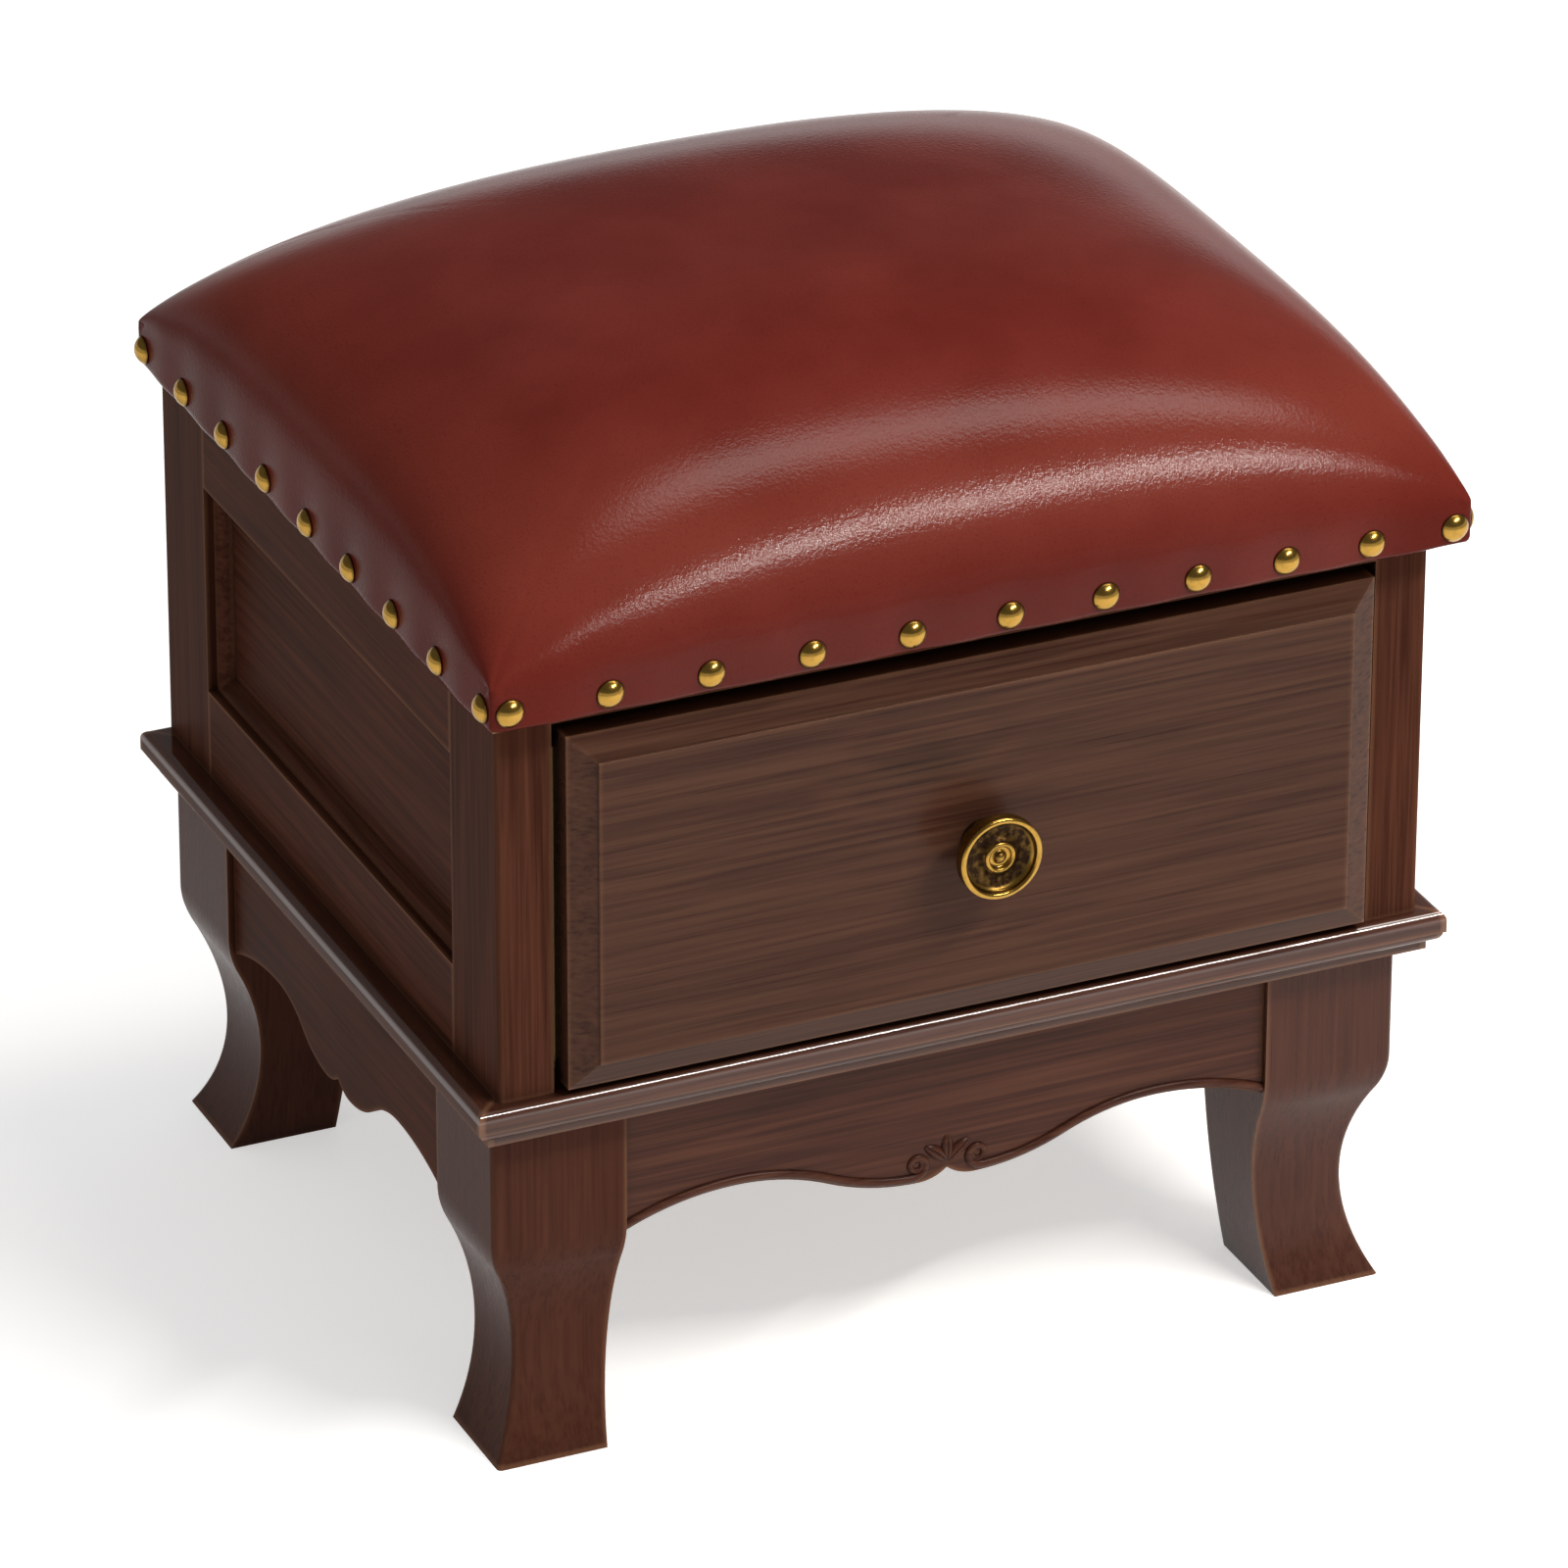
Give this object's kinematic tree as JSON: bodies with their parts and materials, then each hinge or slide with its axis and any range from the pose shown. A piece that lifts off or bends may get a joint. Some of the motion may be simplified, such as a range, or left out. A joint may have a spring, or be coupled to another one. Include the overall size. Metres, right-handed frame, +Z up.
{
  "type": "storage footstool",
  "caption": "Footstool with a domed leather seat nailed round its edge, a panelled box with a front drawer, a moulded waist, scalloped aprons and cabriole legs.",
  "frame": {"origin": "on the floor, below the middle of the footstool's overall box", "axes": "+Z up, +X to the right of someone facing the drawer, -Y the way the drawer opens"},
  "size_m": [0.425, 0.39, 0.442],
  "materials": {
    "walnut_stained_wood": "semi-gloss dark stain",
    "plain_wood": "planed, unfinished",
    "plywood": "sanded plywood",
    "foam": "open-cell foam",
    "leather": "smooth, semi-gloss",
    "brass": "aged, polished on the high spots",
    "screw_steel": "zinc plated"
  },
  "bodies": {
    "cabinet": {"apron_front": "walnut_stained_wood", "apron_left": "walnut_stained_wood", "apron_rear": "walnut_stained_wood", "apron_right": "walnut_stained_wood", "bottom_panel": "plywood", "bottom_rail_back": "walnut_stained_wood", "bottom_rail_left": "walnut_stained_wood", "bottom_rail_right": "walnut_stained_wood", "drawer_runner_left": "plain_wood", "drawer_runner_right": "plain_wood", "drawer_stops": "plain_wood", "foam_pad": "foam", "glue_blocks_front": "plain_wood", "glue_blocks_left": "plain_wood", "glue_blocks_rear": "plain_wood", "glue_blocks_right": "plain_wood", "leather_cover": "leather", "leg_front_left": "walnut_stained_wood", "leg_front_right": "walnut_stained_wood", "leg_rear_left": "walnut_stained_wood", "leg_rear_right": "walnut_stained_wood", "panel_back": "walnut_stained_wood", "panel_beads_back": "walnut_stained_wood", "panel_beads_left": "walnut_stained_wood", "panel_beads_right": "walnut_stained_wood", "panel_left": "walnut_stained_wood", "panel_right": "walnut_stained_wood", "seat_board": "plywood", "seat_cleat_left": "plain_wood", "seat_cleat_right": "plain_wood", "seat_nails": "brass", "seat_screws": "screw_steel", "stand_screws": "screw_steel", "stile_front_left": "walnut_stained_wood", "stile_front_right": "walnut_stained_wood", "stile_rear_left": "walnut_stained_wood", "stile_rear_right": "walnut_stained_wood", "top_rail_back": "walnut_stained_wood", "top_rail_front": "walnut_stained_wood", "top_rail_left": "walnut_stained_wood", "top_rail_right": "walnut_stained_wood", "waist_front": "walnut_stained_wood", "waist_left": "walnut_stained_wood", "waist_rear": "walnut_stained_wood", "waist_right": "walnut_stained_wood"},
    "drawer": {"drawer_back": "plain_wood", "drawer_box_front": "plain_wood", "drawer_floor": "plywood", "drawer_front": "walnut_stained_wood", "drawer_front_screws": "screw_steel", "drawer_knob": "brass", "drawer_side_left": "plain_wood", "drawer_side_right": "plain_wood", "knob_screw": "screw_steel"}
  },
  "joints": [
    {"name": "drawer_slide", "type": "slide", "parent": "cabinet", "child": "drawer", "axis": [0, -1, 0], "range_m": [0, 0.24]}
  ]
}
